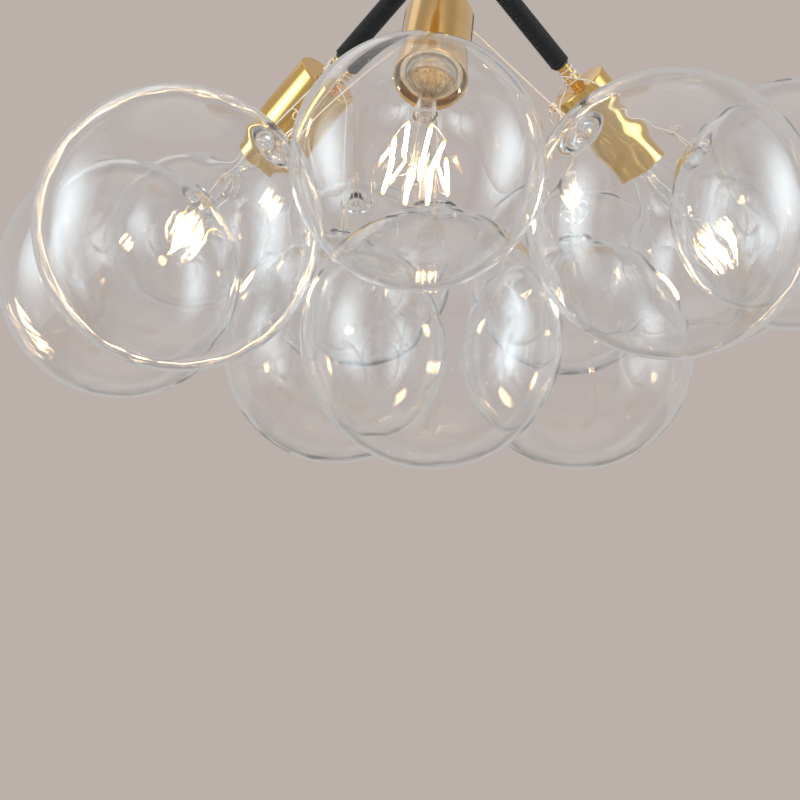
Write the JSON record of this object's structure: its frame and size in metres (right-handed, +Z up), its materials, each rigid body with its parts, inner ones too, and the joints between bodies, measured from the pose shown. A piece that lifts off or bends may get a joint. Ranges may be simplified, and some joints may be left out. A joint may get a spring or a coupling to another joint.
{
  "type": "globe chandelier",
  "caption": "Ceiling chandelier with a brass stem, splayed cord-wrapped arms, globe bulbs in brass cups and clear glass bubbles hung on nylon lines.",
  "frame": {"origin": "middle of the ceiling bar's top face, on the ceiling plane", "axes": "+Z up along the stem, -Y towards the front lamp's side, +X to the right seen from there"},
  "size_m": [0.5604, 0.5553, 0.6836],
  "materials": {
    "brass": "polished",
    "brass_thread": "threaded",
    "black_tube": "matt",
    "wrap_cord": "waxed black cord",
    "clear_glass": "clear, blown",
    "bulb_glass": "clear, blown",
    "stem_glass": "clear, pressed",
    "filament": "warm phosphor, lit",
    "nickel": "nickel plated",
    "porcelain": "glazed",
    "steel": "zinc plated",
    "nylon": "clear monofilament",
    "cable": "sheathed",
    "terminal": "moulded"
  },
  "bodies": {
    "frame": {"mounting_bar": "steel", "canopy": "brass", "canopy_screw_left": "brass", "canopy_screw_right": "brass", "stem_tube": "brass", "stem_nut": "steel", "terminal_block": "terminal", "stem_lead": "cable", "hub": "brass", "arm_tube_front": "black_tube", "arm_wrap_front": "wrap_cord", "arm_stud_front": "brass_thread", "arm_lead_front": "cable", "lamp_cup_front": "brass", "lock_nut_front": "steel", "lampholder_front": "porcelain", "arm_tube_left": "black_tube", "arm_wrap_left": "wrap_cord", "arm_stud_left": "brass_thread", "arm_lead_left": "cable", "lamp_cup_left": "brass", "lock_nut_left": "steel", "lampholder_left": "porcelain", "arm_tube_right": "black_tube", "arm_wrap_right": "wrap_cord", "arm_stud_right": "brass_thread", "arm_lead_right": "cable", "lamp_cup_right": "brass", "lock_nut_right": "steel", "lampholder_right": "porcelain"},
    "drop_front_left": {"bubble_front_left": "clear_glass", "line_front_left": "nylon"},
    "drop_front_right": {"bubble_front_right": "clear_glass", "line_front_right": "nylon"},
    "drop_front_low": {"bubble_front_low": "clear_glass", "line_front_low": "nylon"},
    "drop_left_front": {"bubble_left_front": "clear_glass", "line_left_front": "nylon"},
    "drop_left_back": {"bubble_left_back": "clear_glass", "line_left_back": "nylon"},
    "drop_left_low": {"bubble_left_low": "clear_glass", "line_left_low": "nylon"},
    "drop_right_front": {"bubble_right_front": "clear_glass", "line_right_front": "nylon"},
    "drop_right_back": {"bubble_right_back": "clear_glass", "line_right_back": "nylon"},
    "drop_right_low": {"bubble_right_low": "clear_glass", "line_right_low": "nylon"},
    "lamp_front": {"bulb_cap_front": "nickel", "bulb_glass_front": "bulb_glass", "bulb_stem_front": "stem_glass", "bulb_filament_front": "filament"},
    "lamp_left": {"bulb_cap_left": "nickel", "bulb_glass_left": "bulb_glass", "bulb_stem_left": "stem_glass", "bulb_filament_left": "filament"},
    "lamp_right": {"bulb_cap_right": "nickel", "bulb_glass_right": "bulb_glass", "bulb_stem_right": "stem_glass", "bulb_filament_right": "filament"}
  },
  "joints": [
    {"name": "swing_front_left", "type": "hinge", "parent": "frame", "child": "drop_front_left", "pos_m": [-0.01027, -0.0888, -0.41381], "axis": [0.088, 0.761, 0.6428], "range_deg": [0, 12]},
    {"name": "swing_front_right", "type": "hinge", "parent": "frame", "child": "drop_front_right", "pos_m": [-0.01065, -0.09204, -0.41654], "axis": [-0.088, -0.761, -0.6428], "range_deg": [0, 12]},
    {"name": "swing_front_low", "type": "hinge", "parent": "frame", "child": "drop_front_low", "pos_m": [-0.01102, -0.09527, -0.41928], "axis": [0.088, 0.761, 0.6428], "range_deg": [0, 1.5]},
    {"name": "swing_left_front", "type": "hinge", "parent": "frame", "child": "drop_left_front", "pos_m": [-0.07584, 0.0502, -0.41192], "axis": [-0.6499, 0.4301, -0.6266], "range_deg": [0, 12]},
    {"name": "swing_left_back", "type": "hinge", "parent": "frame", "child": "drop_left_back", "pos_m": [-0.0786, 0.05203, -0.41459], "axis": [0.6499, -0.4301, 0.6266], "range_deg": [0, 12]},
    {"name": "swing_left_low", "type": "hinge", "parent": "frame", "child": "drop_left_low", "pos_m": [-0.08137, 0.05385, -0.41725], "axis": [-0.6499, 0.4301, -0.6266], "range_deg": [0, 1.5]},
    {"name": "swing_right_front", "type": "hinge", "parent": "frame", "child": "drop_right_front", "pos_m": [0.07612, 0.03437, -0.4203], "axis": [-0.6523, -0.2945, 0.6984], "range_deg": [0, 12]},
    {"name": "swing_right_back", "type": "hinge", "parent": "frame", "child": "drop_right_back", "pos_m": [0.07889, 0.03562, -0.42327], "axis": [0.6523, 0.2945, -0.6984], "range_deg": [0, 12]},
    {"name": "swing_right_low", "type": "hinge", "parent": "frame", "child": "drop_right_low", "pos_m": [0.08167, 0.03687, -0.42624], "axis": [-0.6523, -0.2945, 0.6984], "range_deg": [0, 1.5]},
    {"name": "unscrew_front", "type": "slide", "parent": "frame", "child": "lamp_front", "axis": [-0.088, -0.761, -0.6428], "range_m": [0, 0.028]},
    {"name": "unscrew_left", "type": "slide", "parent": "frame", "child": "lamp_left", "axis": [-0.6499, 0.4301, -0.6266], "range_m": [0, 0.028]},
    {"name": "unscrew_right", "type": "slide", "parent": "frame", "child": "lamp_right", "axis": [0.6523, 0.2945, -0.6984], "range_m": [0, 0.028]}
  ]
}
